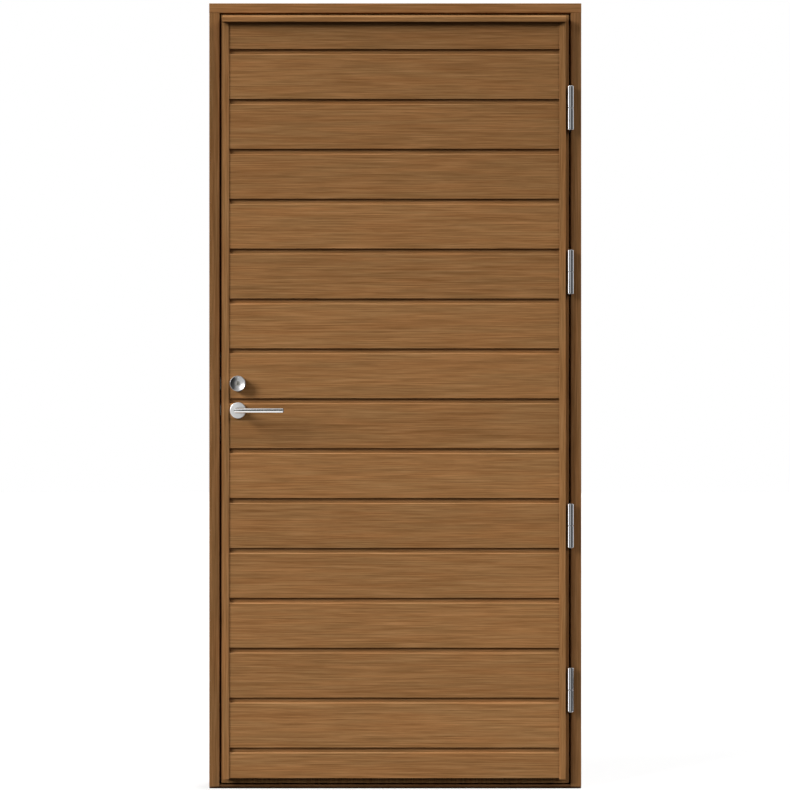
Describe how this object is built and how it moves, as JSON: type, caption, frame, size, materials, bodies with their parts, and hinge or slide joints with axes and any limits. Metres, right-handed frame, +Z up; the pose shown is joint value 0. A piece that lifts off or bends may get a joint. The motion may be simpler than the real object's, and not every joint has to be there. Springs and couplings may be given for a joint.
{
  "type": "exterior door",
  "caption": "Outward-opening timber exterior door in its frame, clad with horizontal shiplap boards, with lift-off hinges, a key cylinder and sprung lever handles.",
  "frame": {"origin": "middle of the threshold's flat underside, at half the frame's width and depth", "axes": "+Z up, +X to the right seen from outside, -Y outwards, the way the leaf opens"},
  "size_m": [0.99, 0.206, 2.09],
  "materials": {
    "frame_wood": "brown stain, satin",
    "leaf_wood": "brown stain, satin",
    "cladding_wood": "brown stain over fine straight grain, satin",
    "seal_rubber": "matte black",
    "hinge_steel": "polished",
    "lock_steel": "brushed",
    "handle_steel": "satin",
    "plug_brass": "nickelled, satin"
  },
  "bodies": {
    "frame": {"lock_jamb": "frame_wood", "hinge_jamb": "frame_wood", "frame_head": "frame_wood", "threshold": "frame_wood", "weather_seal": "seal_rubber", "strike_plate": "lock_steel", "hinge_1_frame_half": "hinge_steel", "hinge_2_frame_half": "hinge_steel", "hinge_3_frame_half": "hinge_steel", "hinge_4_frame_half": "hinge_steel"},
    "leaf": {"leaf_core": "leaf_wood", "inner_panel": "leaf_wood", "lock_edge_strip": "cladding_wood", "hinge_edge_strip": "cladding_wood", "drip_cap": "cladding_wood", "board_01": "cladding_wood", "board_02": "cladding_wood", "board_03": "cladding_wood", "board_04": "cladding_wood", "board_05": "cladding_wood", "board_06": "cladding_wood", "board_07": "cladding_wood", "board_08": "cladding_wood", "board_09": "cladding_wood", "board_10": "cladding_wood", "board_11": "cladding_wood", "board_12": "cladding_wood", "board_13": "cladding_wood", "board_14": "cladding_wood", "board_15": "cladding_wood", "board_16": "cladding_wood", "hinge_1_leaf_half": "hinge_steel", "hinge_2_leaf_half": "hinge_steel", "hinge_3_leaf_half": "hinge_steel", "hinge_4_leaf_half": "hinge_steel", "lock_forend": "lock_steel", "lock_bolts": "lock_steel", "outer_rose": "handle_steel", "inner_rose": "handle_steel", "cylinder_collar": "handle_steel", "cylinder_plug": "plug_brass", "thumbturn_rose": "handle_steel", "thumbturn": "handle_steel"},
    "lever": {"outer_lever": "handle_steel", "inner_lever": "handle_steel", "spindle": "lock_steel"}
  },
  "joints": [
    {"name": "leaf_swing", "type": "hinge", "parent": "frame", "child": "leaf", "pos_m": [0.4645, -0.0665, 0.266], "axis": [0, 0, 1], "range_deg": [0, 110]},
    {"name": "lever_turn", "type": "hinge", "parent": "leaf", "child": "lever", "pos_m": [-0.416, -0.0725, 1.007], "axis": [0, 1, 0], "range_deg": [0, 45], "stiffness_Nm_per_rad": 1.5, "springref_deg": -28.65}
  ]
}
